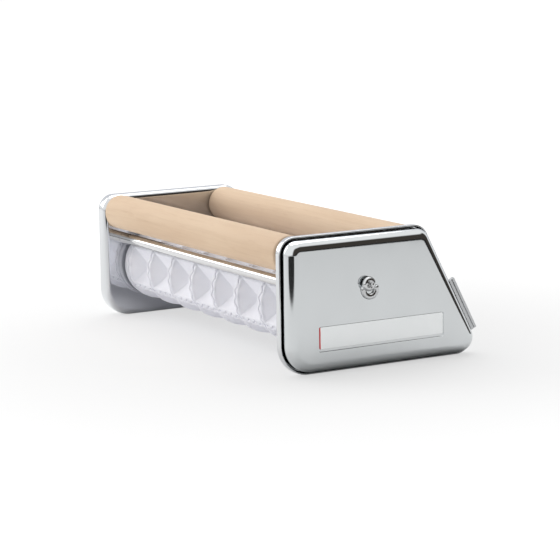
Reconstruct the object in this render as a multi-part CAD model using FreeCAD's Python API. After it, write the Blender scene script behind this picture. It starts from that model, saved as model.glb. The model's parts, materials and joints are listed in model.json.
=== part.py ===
import FreeCAD, Part

import math
import os

# Ravioli maker: two meshed pocket rollers and two wooden feed rollers between chrome end units.
# All sizes are in millimetres. X runs along the rollers, with the labelled end unit at +X. Y runs
# from the front, where the front rollers are, to the back. Z is up, and the end units stand on Z = 0.
# Pieces are made with X = 0 at mid-length and Y = 0 at the front edge, and moved at the end so that
# the origin is the bottom centre of the whole object's box.

Vector = FreeCAD.Vector

# End units, seen from the side
half_span = 135.0            # mid-length to a side plate's inner face
unit_height = 98.0
unit_top_depth = 118.8       # front edge to the slanted back edge, at the top
unit_base_depth = 169.8      # the same at the base
front_base_radius = 22.5
front_top_radius = 12.2
back_top_radius = 12.7
back_base_radius = 13.0

# Sheet metal of an end unit; distances outwards are from the side plate's inner face. The left
# unit's tray is drawn deeper, because it houses the gears.
unit_thickness = 15.1
tray_sheet = 1.2
tray_bend_radii = {"left": 4.0, "right": 2.0}
tray_rim_depths = {"left": 10.0, "right": 6.2}
cover_sheet = 1.0
cover_gap = 1.1              # between the tray's rim and the cover's skirt
cover_edge_radii = {"left": 2.2, "right": 7.0}
cover_skirt_start = 2.2

# Moulding rollers
pocket_pitch = 35.0
pockets_across = 7
pockets_around = 5
crest_radius = pockets_around * pocket_pitch / (2 * math.pi)
crest_width = 7.4
crest_flat = 5.0
crest_edge_drop = 1.1
pocket_floor_radius = 17.2
row_lift = math.radians(3.5)  # how far the front row of pockets faces above the horizontal
end_band_radius = 27.0
end_band_chamfer = 1.0
end_band_length = 5.0        # the plain band outside an outer crest
roller_left_gap = 2.6        # from the left side plate to the roller's end
gear_teeth = 28
gear_module = 2.0
roller_distance = gear_teeth * gear_module
front_roller_y = 42.7
roller_z = 41.5
back_roller_y = front_roller_y + roller_distance
nip_y = (front_roller_y + back_roller_y) / 2

# Shafts, bushes and gears
shaft_radius = 6.0
running_clearance = 0.05
thrust_clearance = 0.3
bush_radius = 8.0
bush_flange_radius = 9.5
bush_flange = 1.5
bush_beyond_plate = 3.0
hub_radius = 9.0
gear_width = 5.0
gear_addendum = 1.9
gear_dedendum = 2.5
gear_backlash = 0.3
flank_steps = 3
pressure_angle = math.radians(20)
key_width = 4.0
key_height = 3.2
clip_thickness = 1.2
clip_groove_depth = 0.8
clip_rim = 2.4
clip_opening = math.radians(80)
socket_radius = 4.0
socket_depth = 10.0
socket_slot_width = 2.4
socket_slot_depth = 5.0
shaft_beyond_clip = 1.0
socket_hole_clearance = 1.0

# Wooden feed rollers
feed_radius = 13.25
feed_end_gap = 1.1
feed_edge_radius = 2.2
front_feed_y = feed_radius
front_feed_z = unit_height - feed_radius
back_feed_y = 106.7
back_feed_z = 84.3
feed_pin_radius = 3.0
feed_pin_in_wood = 25.0
feed_bush_radius = 5.0
feed_bush_flange_radius = 6.5
feed_bush_flange = 0.8

# Bars between the side plates
bar_radius = 4.45
guide_bar_from_nip = 53.1
guide_bar_z = 62.8
lower_bar_y = 138.0
lower_bar_z = 30.0
bar_screw_radius = 2.0
bar_screw_in_bar = 10.0
small_head_radius = 3.5
small_head_height = 2.2

# Pan heads, as shares of the head's own radius or height
head_round = 0.6
recess_reach = 0.5
recess_width = 0.22
recess_depth = 0.45

# Cover screws, pillars and open washers
cover_screw_radius = 2.5
cover_screw_in_pillar = 9.0
cover_head_radius = 5.2
cover_head_height = 3.2
cover_hole_clearance = 0.3
pillar_radius = 4.2
right_screw_y = 65.4
right_screw_z = 61.7
left_screw_y = nip_y
left_screw_z = 69.0
washer_radius = 7.2
washer_inner_radius = 3.1
washer_thickness = 1.8
washer_offset_y = 2.4        # the washer hangs low and to the back of its screw
washer_offset_z = -4.5
washer_edge_radius = 1.4
washer_opening_start = 27.0  # degrees above +Y, where the washer is open
washer_opening_end = 152.0

# Label plate and its recess in the right cover
label_y = 78.2
label_z = 26.6
label_length = 103.6
label_height = 15.6
label_depth = 0.5
label_sheet = 0.4
label_corner_radius = 1.2
recess_margin = 0.3
recess_below = 1.8

# Hook rails on the slanted back edges
rail_length = 43.0
rail_top_height = 54.5       # height of the rail's upper end on the slanted edge
rail_base = 1.2
rail_base_width = 6.2        # outwards from the side plate's inner face
rail_wall = 2.6
rail_proud = 4.8
rail_groove = 0.6
rail_groove_from = 2.2
rivet_radius = 1.2
rivet_head_radius = 1.6
rivet_head_height = 0.8
rivet_spacing = 26.0
rivet_out = 1.9

# The cutting tools run this far past the faces that they cut
over = 1.0

# Edges this close to a plane lie in it
tolerance = 0.01

# Places worked out from the sizes above, outwards from mid-length
gear_start = half_span + tray_sheet + bush_beyond_plate + thrust_clearance
clip_starts = {"left": gear_start + gear_width, "right": gear_start}
cover_face = half_span + unit_thickness
end_reach = cover_face + washer_thickness + cover_head_height

# The slanted back edge: up along it, and square to it
slope = Vector(0, unit_top_depth - unit_base_depth, unit_height).normalize()
slope_out = Vector(0, slope.z, -slope.y)
slope_foot = Vector(half_span, unit_base_depth, 0)
rail_top = slope_foot + slope * (rail_top_height / slope.z)
rail_corner = rail_top - slope * rail_length + slope_out * rail_proud


def x_cylinder(radius, start, end, y, z):
    """A cylinder along X from start to end."""
    return Part.makeCylinder(radius, end - start, Vector(start, y, z), Vector(1, 0, 0))


def x_block(start, end, y_low, y_high, z_low, z_high):
    """A block between two X values."""
    return Part.makeBox(end - start, y_high - y_low, z_high - z_low, Vector(start, y_low, z_low))


def rounded_wire(corners, radii):
    """A closed wire through the corners, with each corner rounded to its radius."""
    starts = []
    middles = []
    ends = []
    count = len(corners)
    for i in range(count):
        here = corners[i]
        back = (corners[i - 1] - here).normalize()
        ahead = (corners[(i + 1) % count] - here).normalize()
        half_angle = back.getAngle(ahead) / 2
        reach = radii[i] / math.tan(half_angle)
        depth = radii[i] / math.sin(half_angle) - radii[i]
        starts.append(here + back * reach)
        middles.append(here + (back + ahead).normalize() * depth)
        ends.append(here + ahead * reach)
    edges = []
    for i in range(count):
        edges.append(Part.Arc(starts[i], middles[i], ends[i]).toShape())
        edges.append(Part.makeLine(ends[i], starts[(i + 1) % count]))
    return Part.Wire(edges)


def unit_profile(x, inset):
    """An end unit's side outline at X = x, moved inwards by inset."""
    corners = [
        Vector(x, 0, 0),
        Vector(x, unit_base_depth, 0),
        Vector(x, unit_top_depth, unit_height),
        Vector(x, 0, unit_height),
    ]
    radii = [front_base_radius, back_base_radius, back_top_radius, front_top_radius]
    wire = rounded_wire(corners, radii)
    if inset == 0:
        return wire
    return wire.makeOffset2D(-inset)


def edges_at(shape, x):
    """The edges that lie in the plane at X = x."""
    edges = []
    for edge in shape.Edges:
        box = edge.BoundBox
        if abs(box.XMin - x) < tolerance and abs(box.XMax - x) < tolerance:
            edges.append(edge)
    return edges


def unit_prism(inset, start, end, edge_radius, round_end):
    """A prism on the side outline between two X values, rounded at its far or its near end."""
    prism = Part.Face(unit_profile(start, inset)).extrude(Vector(end - start, 0, 0))
    return prism.makeFillet(edge_radius, edges_at(prism, end if round_end else start))


def to_side(shape, side):
    """A piece made for the right end unit, or its mirror image for the left one."""
    if side == "right":
        return shape
    return shape.mirror(Vector(0, 0, 0), Vector(1, 0, 0))


def bar_places():
    """The bars' axes in the side view."""
    return [
        (nip_y - guide_bar_from_nip, guide_bar_z),
        (nip_y + guide_bar_from_nip, guide_bar_z),
        (lower_bar_y, lower_bar_z),
    ]


def frame_tray(side):
    """A side plate with its rim, drawn from one sheet, with the holes for bushes and bar screws."""
    rim_end = half_span + tray_rim_depths[side]
    outer = unit_prism(0, half_span, rim_end, tray_bend_radii[side], False)
    inner_radius = tray_bend_radii[side] - tray_sheet
    hollow_start = half_span + tray_sheet
    hollow_end = rim_end + over
    tray = outer.cut(unit_prism(tray_sheet, hollow_start, hollow_end, inner_radius, False))
    start = half_span - over
    end = half_span + tray_sheet + over
    for y in (front_roller_y, back_roller_y):
        tray = tray.cut(x_cylinder(bush_radius, start, end, y, roller_z))
    for y, z in ((front_feed_y, front_feed_z), (back_feed_y, back_feed_z)):
        tray = tray.cut(x_cylinder(feed_bush_radius, start, end, y, z))
    for y, z in bar_places():
        tray = tray.cut(x_cylinder(bar_screw_radius, start, end, y, z))
    return to_side(tray, side)


def plain_cover(edge_radius):
    """A drawn cover with a round edge, whose skirt nests inside the tray's rim."""
    inset = tray_sheet + cover_gap
    start = half_span + cover_skirt_start
    outer = unit_prism(inset, start, cover_face, edge_radius, True)
    inner_radius = edge_radius - cover_sheet
    hollow_end = cover_face - cover_sheet
    return outer.cut(unit_prism(inset + cover_sheet, start - over, hollow_end, inner_radius, True))


def screw_hole(y, z):
    """The hole in a cover for its screw."""
    radius = cover_screw_radius + cover_hole_clearance
    return x_cylinder(radius, cover_face - cover_sheet - over, cover_face + over, y, z)


def right_cover():
    """The cover with the recess for the label plate."""
    y_low = label_y - label_length / 2 - recess_margin
    y_high = label_y + label_length / 2 + recess_margin
    z_low = label_z - label_height / 2 - recess_below
    z_high = label_z + label_height / 2 + recess_margin
    recess = x_block(cover_face - label_depth, cover_face + over, y_low, y_high, z_low, z_high)
    cover = plain_cover(cover_edge_radii["right"])
    return cover.cut(recess).cut(screw_hole(right_screw_y, right_screw_z))


def left_cover():
    """The cover with the hole for the front shaft's crank socket."""
    radius = shaft_radius + socket_hole_clearance
    start = cover_face - cover_sheet - over
    hole = x_cylinder(radius, start, cover_face + over, front_roller_y, roller_z)
    cover = plain_cover(cover_edge_radii["left"]).cut(hole)
    cover = cover.cut(screw_hole(left_screw_y, left_screw_z))
    return to_side(cover, "left")


def label_plate():
    """A thin plate with slightly rounded corners, set in the right cover's recess."""
    back = cover_face - label_depth
    y_low = label_y - label_length / 2
    y_high = label_y + label_length / 2
    z_low = label_z - label_height / 2
    z_high = label_z + label_height / 2
    corners = [
        Vector(back, y_low, z_low),
        Vector(back, y_high, z_low),
        Vector(back, y_high, z_high),
        Vector(back, y_low, z_high),
    ]
    plate = Part.Face(rounded_wire(corners, [label_corner_radius] * len(corners)))
    return plate.extrude(Vector(label_sheet, 0, 0))


def cover_pillar(side, y, z):
    """A pillar on the side plate, tapped for the cover's screw."""
    end = cover_face - cover_sheet
    pillar = x_cylinder(pillar_radius, half_span + tray_sheet, end, y, z)
    bore = x_cylinder(cover_screw_radius, end - cover_screw_in_pillar, end, y, z)
    return to_side(pillar.cut(bore), side)


def cross_recess(face, y, z, reach, width, depth):
    """The cross-shaped recess in a screw's head."""
    flat = x_block(face - depth, face + over, y - reach, y + reach, z - width / 2, z + width / 2)
    upright = x_block(face - depth, face + over, y - width / 2, y + width / 2, z - reach, z + reach)
    return flat.fuse(upright)


def pan_head(radius, height, start, y, z):
    """A pan head that stands outwards from X = start, with a round edge and a cross recess."""
    top = start + height
    head = x_cylinder(radius, start, top, y, z)
    head = head.makeFillet(height * head_round, edges_at(head, top))
    reach = radius * recess_reach
    return head.cut(cross_recess(top, y, z, reach, radius * recess_width, height * recess_depth))


def cover_screw(side, y, z):
    """The screw that holds a cover, over its open washer."""
    shank_start = cover_face - cover_sheet - cover_screw_in_pillar
    head_start = cover_face + washer_thickness
    shank = x_cylinder(cover_screw_radius, shank_start, head_start, y, z)
    head = pan_head(cover_head_radius, cover_head_height, head_start, y, z)
    return to_side(shank.fuse(head), side)


def open_washer(side, screw_y, screw_z):
    """A horseshoe-shaped washer that hangs low under its screw's head, with rounded faces."""
    y = screw_y + washer_offset_y
    z = screw_z + washer_offset_z
    start = cover_face - over
    end = cover_face + washer_thickness
    washer = x_cylinder(washer_radius, cover_face, end, y, z)
    washer = washer.makeFillet(washer_edge_radius, edges_at(washer, end))
    washer = washer.cut(x_cylinder(washer_inner_radius, start, end + over, y, z))
    middle = (washer_opening_start + washer_opening_end) / 2
    reach = 2 * washer_radius
    points = [Vector(start, y, z)]
    for degrees in (washer_opening_start, middle, washer_opening_end):
        angle = math.radians(degrees)
        points.append(Vector(start, y + reach * math.cos(angle), z + reach * math.sin(angle)))
    points.append(points[0])
    wedge = Part.Face(Part.makePolygon(points)).extrude(Vector(washer_thickness + 2 * over, 0, 0))
    return to_side(washer.cut(wedge), side)


def crest_bar(row):
    """The section of one crest along the roller, down to the floors of the rows beside it."""
    row_angle = 2 * math.pi / pockets_around
    crest = math.pi - row_lift + (row + 0.5) * row_angle
    edge_angle = crest_width / 2 / crest_radius
    flat_angle = crest_flat / 2 / crest_radius
    edge_radius = crest_radius - crest_edge_drop
    points = [
        (pocket_floor_radius, crest - row_angle / 2),
        (edge_radius, crest - edge_angle),
        (crest_radius, crest - flat_angle),
        (crest_radius, crest + flat_angle),
        (edge_radius, crest + edge_angle),
        (pocket_floor_radius, crest + row_angle / 2),
    ]
    vectors = []
    for radius, angle in points:
        vectors.append(Vector(0, radius * math.cos(angle), radius * math.sin(angle)))
    vectors.append(vectors[0])
    return Part.Face(Part.makePolygon(vectors))


def turned(profile):
    """A solid of revolution about the X axis through the profile's points, bored for the shaft."""
    points = [Vector(profile[0][0], 0, shaft_radius)]
    for x, radius in profile:
        points.append(Vector(x, 0, radius))
    points.append(Vector(profile[-1][0], 0, shaft_radius))
    points.append(points[0])
    return Part.Face(Part.makePolygon(points)).revolve(Vector(0, 0, 0), Vector(1, 0, 0), 360)


def crest_ring(crest):
    """A crest around the roller, from the middle of one ring of pockets to the next."""
    edge_radius = crest_radius - crest_edge_drop
    profile = [
        (crest - pocket_pitch / 2, pocket_floor_radius),
        (crest - crest_width / 2, edge_radius),
        (crest - crest_flat / 2, crest_radius),
        (crest + crest_flat / 2, crest_radius),
        (crest + crest_width / 2, edge_radius),
        (crest + pocket_pitch / 2, pocket_floor_radius),
    ]
    return turned(profile)


def end_ring(crest, hub_end):
    """An outer crest with the plain band outside it and the hub that sets the roller's end gap."""
    outwards = math.copysign(1, crest)
    edge_radius = crest_radius - crest_edge_drop
    end = crest_width / 2 + end_band_length
    profile = [
        (-pocket_pitch / 2, pocket_floor_radius),
        (-crest_width / 2, edge_radius),
        (-crest_flat / 2, crest_radius),
        (crest_flat / 2, crest_radius),
        (crest_width / 2, end_band_radius),
        (end - end_band_chamfer, end_band_radius),
        (end, end_band_radius - end_band_chamfer),
    ]
    ring = turned([(crest + outwards * along, radius) for along, radius in profile])
    hub = turned([(crest, hub_radius), (outwards * hub_end, hub_radius)])
    return ring.fuse(hub).removeSplitter()


def mould_roller(y, toward_front):
    """A pocket roller, as solids that touch: its rings, and the crest bars between them."""
    first_crest = roller_left_gap - half_span + end_band_length + crest_width / 2
    last_crest = first_crest + pockets_across * pocket_pitch
    hub_end = half_span - bush_flange - thrust_clearance
    rings = [end_ring(first_crest, hub_end), end_ring(last_crest, hub_end)]
    for i in range(1, pockets_across):
        rings.append(crest_ring(first_crest + i * pocket_pitch))
    solids = list(rings)
    for row in range(pockets_around):
        bars = crest_bar(row).extrude(Vector(last_crest - first_crest, 0, 0))
        bars.translate(Vector(first_crest, 0, 0))
        solids += bars.cut(rings).Solids
    roller = Part.makeCompound(solids)
    if not toward_front:
        roller = roller.mirror(Vector(0, 0, 0), Vector(0, 1, 0))
    roller.translate(Vector(0, y, roller_z))
    return roller


def clip_groove(side, y):
    """The ring cut from a shaft for its clip."""
    start = clip_starts[side]
    ring = x_cylinder(shaft_radius + over, start, start + clip_thickness, y, roller_z)
    core = x_cylinder(shaft_radius - clip_groove_depth, start, start + clip_thickness, y, roller_z)
    return to_side(ring.cut(core), side)


def shaft_clip(side, y):
    """An open ring that snaps into a shaft's groove."""
    start = clip_starts[side]
    end = start + clip_thickness
    clip = x_cylinder(shaft_radius + clip_rim, start, end, y, roller_z)
    clip = clip.cut(x_cylinder(shaft_radius - clip_groove_depth, start - over, end + over, y, roller_z))
    reach = shaft_radius + clip_rim + over
    half_width = reach * math.tan(clip_opening / 2)
    points = [
        Vector(start - over, y, roller_z),
        Vector(start - over, y - half_width, roller_z + reach),
        Vector(start - over, y + half_width, roller_z + reach),
        Vector(start - over, y, roller_z),
    ]
    wedge = Part.Face(Part.makePolygon(points)).extrude(Vector(clip_thickness + 2 * over, 0, 0))
    return to_side(clip.cut(wedge), side)


def gear_key(y):
    """The square key between a gear and its shaft."""
    low = roller_z + shaft_radius - key_height / 2
    high = roller_z + shaft_radius + key_height / 2
    end = gear_start + gear_width
    key = x_block(gear_start, end, y - key_width / 2, y + key_width / 2, low, high)
    return to_side(key, "left")


def mould_shaft(y, left_end):
    """A steel shaft through a moulding roller, with the keyway and the clips' grooves."""
    right_end = clip_starts["right"] + clip_thickness + shaft_beyond_clip
    shaft = x_cylinder(shaft_radius, left_end, right_end, y, roller_z)
    shaft = shaft.cut(gear_key(y))
    for side in ("left", "right"):
        shaft = shaft.cut(clip_groove(side, y))
    return shaft


def front_mould_shaft():
    """The driven shaft, whose left end is the crank's socket: a blind bore with a cross slot."""
    mouth = -end_reach
    shaft = mould_shaft(front_roller_y, mouth)
    bore = x_cylinder(socket_radius, mouth - over, mouth + socket_depth, front_roller_y, roller_z)
    low_y = front_roller_y - shaft_radius - over
    high_y = front_roller_y + shaft_radius + over
    half_width = socket_slot_width / 2
    low_z = roller_z - half_width
    high_z = roller_z + half_width
    slot = x_block(mouth - over, mouth + socket_slot_depth, low_y, high_y, low_z, high_z)
    return shaft.cut(bore).cut(slot)


def back_mould_shaft():
    """The driven roller's shaft, which ends inside the left end unit."""
    left_end = clip_starts["left"] + clip_thickness + shaft_beyond_clip
    return mould_shaft(back_roller_y, -left_end)


def flanged_bush(flange_radius, flange, barrel_radius, bore_radius, y, z, side):
    """A bush in a side plate, with its flange on the inner face."""
    end = half_span + tray_sheet + bush_beyond_plate
    bush = x_cylinder(flange_radius, half_span - flange, half_span, y, z)
    bush = bush.fuse(x_cylinder(barrel_radius, half_span - flange, end, y, z))
    bore = x_cylinder(bore_radius, half_span - flange - over, end + over, y, z)
    return to_side(bush.cut(bore).removeSplitter(), side)


def mould_bush(y, side):
    """A moulding roller's bearing."""
    bore = shaft_radius + running_clearance
    return flanged_bush(bush_flange_radius, bush_flange, bush_radius, bore, y, roller_z, side)


def feed_bush(y, z, side):
    """A feed roller's bearing."""
    bore = feed_pin_radius + running_clearance
    return flanged_bush(feed_bush_flange_radius, feed_bush_flange, feed_bush_radius, bore, y, z, side)


def flank_angle(radius, base_radius, pitch_half_angle):
    """Half a tooth's angle at a radius: an involute, and straight below the base circle."""
    base_half_angle = pitch_half_angle + math.tan(pressure_angle) - pressure_angle
    if radius <= base_radius:
        return base_half_angle
    angle = math.acos(base_radius / radius)
    return base_half_angle - (math.tan(angle) - angle)


def roller_gear(y, first_tooth_angle):
    """An equal spur gear, with involute teeth thinned for backlash."""
    pitch_radius = roller_distance / 2
    base_radius = pitch_radius * math.cos(pressure_angle)
    root_radius = pitch_radius - gear_dedendum
    tip_radius = pitch_radius + gear_addendum
    tooth_thickness = math.pi * gear_module / 2 - gear_backlash
    tooth_half_angle = tooth_thickness / 2 / pitch_radius
    radii = [root_radius, base_radius]
    for step in range(1, flank_steps):
        radii.append(base_radius + (tip_radius - base_radius) * step / flank_steps)
    radii.append(tip_radius)
    points = []
    for tooth in range(gear_teeth):
        centre = first_tooth_angle + tooth * 2 * math.pi / gear_teeth
        rising = []
        falling = []
        for radius in radii:
            half_angle = flank_angle(radius, base_radius, tooth_half_angle)
            rising.append((radius, centre - half_angle))
            falling.append((radius, centre + half_angle))
        points += rising + falling[::-1]
    vectors = []
    for radius, angle in points:
        offset = Vector(0, math.cos(angle), math.sin(angle)) * radius
        vectors.append(Vector(-gear_start, y, roller_z) + offset)
    vectors.append(vectors[0])
    gear = Part.Face(Part.makePolygon(vectors)).extrude(Vector(-gear_width, 0, 0))
    bore_start = -gear_start - gear_width - over
    bore = x_cylinder(shaft_radius, bore_start, -gear_start + over, y, roller_z)
    return gear.cut(bore).cut(gear_key(y))


def feed_roller(y, z):
    """A beech roller with rounded ends, bored for its pins."""
    end = half_span - feed_end_gap
    roller = x_cylinder(feed_radius, -end, end, y, z)
    roller = roller.makeFillet(feed_edge_radius, edges_at(roller, -end) + edges_at(roller, end))
    for sign in (-1, 1):
        low = min(sign * end, sign * (end - feed_pin_in_wood))
        roller = roller.cut(x_cylinder(feed_pin_radius, low, low + feed_pin_in_wood, y, z))
    return roller


def feed_pin(y, z, side):
    """A steel pin pressed into a feed roller's end."""
    start = half_span - feed_end_gap - feed_pin_in_wood
    end = half_span + tray_sheet + bush_beyond_plate + over
    return to_side(x_cylinder(feed_pin_radius, start, end, y, z), side)


def tie_bar(y, z):
    """A round bar between the side plates, tapped at both ends."""
    bar = x_cylinder(bar_radius, -half_span, half_span, y, z)
    for low in (-half_span, half_span - bar_screw_in_bar):
        bar = bar.cut(x_cylinder(bar_screw_radius, low, low + bar_screw_in_bar, y, z))
    return bar


def bar_screws(side):
    """The three screws that hold the bars to one side plate."""
    screws = []
    for y, z in bar_places():
        start = half_span - bar_screw_in_bar
        head_start = half_span + tray_sheet
        shank = x_cylinder(bar_screw_radius, start, head_start, y, z)
        head = pan_head(small_head_radius, small_head_height, head_start, y, z)
        screws.append(to_side(shank.fuse(head), side))
    return Part.makeCompound(screws)


def slanted_block(out_low, out_high, along_low, along_high, proud_low, proud_high):
    """A block on the slanted edge: outwards from the side plate, up the slope, and off the edge."""
    start = rail_top + Vector(out_low, 0, 0)
    corners = [
        start + slope * along_low + slope_out * proud_low,
        start + slope * along_high + slope_out * proud_low,
        start + slope * along_high + slope_out * proud_high,
        start + slope * along_low + slope_out * proud_high,
    ]
    corners.append(corners[0])
    return Part.Face(Part.makePolygon(corners)).extrude(Vector(out_high - out_low, 0, 0))


def rivet_shape(along, radius, low, high):
    """A cylinder square to the slanted edge, at a place along the hook rail."""
    start = rail_top + Vector(rivet_out, 0, 0) + slope * along + slope_out * low
    return Part.makeCylinder(radius, high - low, start, slope_out)


def rivet_places():
    """The rivets' places, measured from the rail's upper end."""
    middle = -rail_length / 2
    return [middle - rivet_spacing / 2, middle + rivet_spacing / 2]


def hook_rail(side):
    """A folded rail: a base on the tray's rim and a grooved wall that hooks on to the machine."""
    base = slanted_block(0, rail_base_width, -rail_length, 0, 0, rail_base)
    wall_start = rail_base_width - rail_wall
    wall = slanted_block(wall_start, rail_base_width, -rail_length, 0, 0, rail_proud)
    rail = base.fuse(wall)
    out_low = rail_base_width - rail_groove
    out_high = rail_base_width + over
    along_low = -rail_length - over
    proud_high = rail_groove_from + rail_groove
    groove = slanted_block(out_low, out_high, along_low, over, rail_groove_from, proud_high)
    rail = rail.cut(groove).removeSplitter()
    for along in rivet_places():
        rail = rail.cut(rivet_shape(along, rivet_radius, -over, rail_base + over))
    return to_side(rail, side)


def hook_rivets(side):
    """The two rivets that hold a hook rail to the tray's rim."""
    rivets = []
    for along in rivet_places():
        shank = rivet_shape(along, rivet_radius, -tray_sheet, rail_base)
        head = rivet_shape(along, rivet_head_radius, rail_base, rail_base + rivet_head_height)
        rivets.append(to_side(shank.fuse(head).removeSplitter(), side))
    return Part.makeCompound(rivets)


def rivet_holes(side):
    """The holes for a hook rail's rivets in the tray's rim."""
    holes = []
    for along in rivet_places():
        holes.append(to_side(rivet_shape(along, rivet_radius, -tray_sheet - over, over), side))
    return Part.makeCompound(holes)


def all_pieces():
    """Every piece of the object, by its node's name."""
    half_tooth = math.pi / gear_teeth
    rows = {"front": front_roller_y, "back": back_roller_y}
    feeds = {"front": (front_feed_y, front_feed_z), "back": (back_feed_y, back_feed_z)}
    screws = {"left": (left_screw_y, left_screw_z), "right": (right_screw_y, right_screw_z)}
    bars = bar_places()
    pieces = {
        "left_cover": left_cover(),
        "right_cover": right_cover(),
        "label_plate": label_plate(),
        "front_mould_roller": mould_roller(front_roller_y, True),
        "back_mould_roller": mould_roller(back_roller_y, False),
        "front_mould_shaft": front_mould_shaft(),
        "back_mould_shaft": back_mould_shaft(),
        "front_roller_gear": roller_gear(front_roller_y, 0.0),
        "back_roller_gear": roller_gear(back_roller_y, half_tooth),
        "front_guide_bar": tie_bar(*bars[0]),
        "back_guide_bar": tie_bar(*bars[1]),
        "lower_tie_bar": tie_bar(*bars[2]),
    }
    for row, y in rows.items():
        pieces[row + "_gear_key"] = gear_key(y)
        feed_y, feed_z = feeds[row]
        pieces[row + "_feed_roller"] = feed_roller(feed_y, feed_z)
        for side in ("left", "right"):
            pieces[side + "_" + row + "_mould_bush"] = mould_bush(y, side)
            pieces[side + "_" + row + "_shaft_clip"] = shaft_clip(side, y)
            pieces[side + "_" + row + "_feed_bush"] = feed_bush(feed_y, feed_z, side)
            pieces[side + "_" + row + "_feed_pin"] = feed_pin(feed_y, feed_z, side)
    for side, (y, z) in screws.items():
        pieces[side + "_frame_tray"] = frame_tray(side).cut(rivet_holes(side))
        pieces[side + "_cover_pillar"] = cover_pillar(side, y, z)
        pieces[side + "_cover_screw"] = cover_screw(side, y, z)
        pieces[side + "_open_washer"] = open_washer(side, y, z)
        pieces[side + "_bar_screws"] = bar_screws(side)
        pieces[side + "_hook_rail"] = hook_rail(side)
        pieces[side + "_hook_rivets"] = hook_rivets(side)
    return pieces


def write_pieces():
    """Moves the origin to the box's bottom centre and writes one file for each piece."""
    os.makedirs("parts", exist_ok=True)
    shift = Vector(0, -rail_corner.y / 2, 0)
    for name, shape in all_pieces().items():
        shape.translate(shift)
        print(name, "valid" if shape.isValid() else "NOT VALID", round(shape.Volume, 1))
        shape.exportStep("parts/" + name + ".step")
    print("box:", round(2 * end_reach, 3), round(rail_corner.y, 3), round(unit_height, 3))


write_pieces()
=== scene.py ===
import json
import math

import bmesh
import bpy
from mathutils import Matrix, Vector


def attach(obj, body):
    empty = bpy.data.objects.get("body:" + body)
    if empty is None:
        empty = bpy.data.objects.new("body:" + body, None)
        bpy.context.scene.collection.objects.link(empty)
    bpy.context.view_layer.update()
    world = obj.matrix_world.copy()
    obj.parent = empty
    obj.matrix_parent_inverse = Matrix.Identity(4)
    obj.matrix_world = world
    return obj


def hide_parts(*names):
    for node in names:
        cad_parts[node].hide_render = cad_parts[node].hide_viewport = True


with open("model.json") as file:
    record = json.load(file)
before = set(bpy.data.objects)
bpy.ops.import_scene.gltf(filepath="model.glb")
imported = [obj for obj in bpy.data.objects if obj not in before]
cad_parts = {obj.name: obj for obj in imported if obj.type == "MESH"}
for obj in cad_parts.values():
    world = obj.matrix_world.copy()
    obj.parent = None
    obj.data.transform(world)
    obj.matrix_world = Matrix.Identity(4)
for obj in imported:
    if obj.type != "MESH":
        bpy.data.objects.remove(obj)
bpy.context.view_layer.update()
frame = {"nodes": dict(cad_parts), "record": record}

# The studio: a white table under two large soft lamps, with white all round for the camera, and
# painted shade greying the table near the object. The chrome alone sees a dark room low to the
# right and back, where its table also ends, a dark patch on the table towards the camera, and a
# greyer backdrop behind the object.
camera_azimuth = math.radians(59.88)
camera_elevation = math.radians(9.75)
camera_roll = math.radians(-0.86)
camera_distance = 1.6168
camera_target = Vector((0.02656, -0.015669, 0.04645))
camera_lens = 138.69
to_camera = Vector((
    math.sin(camera_azimuth) * math.cos(camera_elevation),
    -math.cos(camera_azimuth) * math.cos(camera_elevation),
    math.sin(camera_elevation),
))
level = Vector((math.cos(camera_azimuth), math.sin(camera_azimuth), 0))
upright = to_camera.cross(level)
camera_right = level * math.cos(camera_roll) + upright * math.sin(camera_roll)
camera_up = upright * math.cos(camera_roll) - level * math.sin(camera_roll)
camera = bpy.data.objects.new("camera", bpy.data.cameras.new("camera"))
camera.data.lens = camera_lens
camera.data.clip_start = 0.05
camera.data.clip_end = 50
turn = Matrix((camera_right, camera_up, to_camera)).transposed().to_4x4()
camera.matrix_world = Matrix.Translation(camera_target + to_camera * camera_distance) @ turn
bpy.context.scene.collection.objects.link(camera)
bpy.context.scene.camera = camera
bpy.context.scene.view_settings.view_transform = "Standard"


def add_node(tree, kind, inputs=None, **settings):
    """A new node with its settings, and with values or links for its inputs."""
    node = tree.nodes.new(kind)
    for name, value in settings.items():
        setattr(node, name, value)
    for name, value in (inputs or {}).items():
        if isinstance(value, bpy.types.NodeSocket):
            tree.links.new(value, node.inputs[name])
        else:
            node.inputs[name].default_value = value
    return node


def add_ramp(tree, factor, stops):
    """A colour ramp through (place, grey or colour) stops."""
    ramp = add_node(tree, "ShaderNodeValToRGB", {"Fac": factor})
    elements = ramp.color_ramp.elements
    while len(elements) < len(stops):
        elements.new(0.5)
    for element, (place, colour) in zip(elements, stops):
        element.position = place
        grey = isinstance(colour, (int, float))
        element.color = (colour, colour, colour, 1) if grey else (*colour, 1)
    return ramp.outputs["Color"]


def add_mix(tree, factor, first, second, blend="MIX"):
    """A colour mix of two colours or links."""
    return add_node(tree, "ShaderNodeMix", {0: factor, 6: first, 7: second}, data_type="RGBA",
                    blend_type=blend).outputs[2]


def add_math(tree, operation, first, second=0.0, clamp=False):
    """One Math node's result."""
    return add_node(tree, "ShaderNodeMath", {0: first, 1: second}, operation=operation,
                    use_clamp=clamp).outputs[0]


def add_mesh_object(name, mesh):
    """An object at the origin for a finished mesh."""
    made = bpy.data.objects.new(name, mesh)
    bpy.context.scene.collection.objects.link(made)
    return made


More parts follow.
